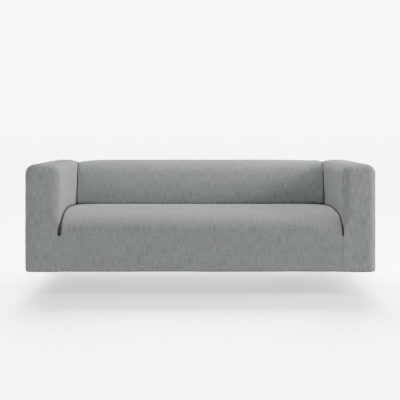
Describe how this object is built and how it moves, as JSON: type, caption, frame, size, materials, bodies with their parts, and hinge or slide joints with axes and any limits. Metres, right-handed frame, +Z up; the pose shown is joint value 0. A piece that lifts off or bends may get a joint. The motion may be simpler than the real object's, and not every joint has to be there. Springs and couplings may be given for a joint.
{
  "type": "sofa slipcover",
  "caption": "Hollow stretch slipcover, sewn from fitted panels, that covers the arms, back, seat and front of a low sofa with box arms.",
  "frame": {"origin": "under the cloth in the middle of the seat panel, where the sofa's seat holds the cover up", "axes": "+Z up, -Y out of the front, X across with +X on the right as seen from the front"},
  "size_m": [1.8, 0.88, 0.545],
  "materials": {
    "waffle_knit": "heathered grey waffle knit, matte"
  },
  "bodies": {
    "root": {"seat_front": "waffle_knit", "back_inner": "waffle_knit", "back_outer": "waffle_knit", "arm_inner_left": "waffle_knit", "arm_inner_right": "waffle_knit", "arm_front_left": "waffle_knit", "arm_front_right": "waffle_knit", "arm_outer_left": "waffle_knit", "arm_outer_right": "waffle_knit"}
  },
  "joints": []
}
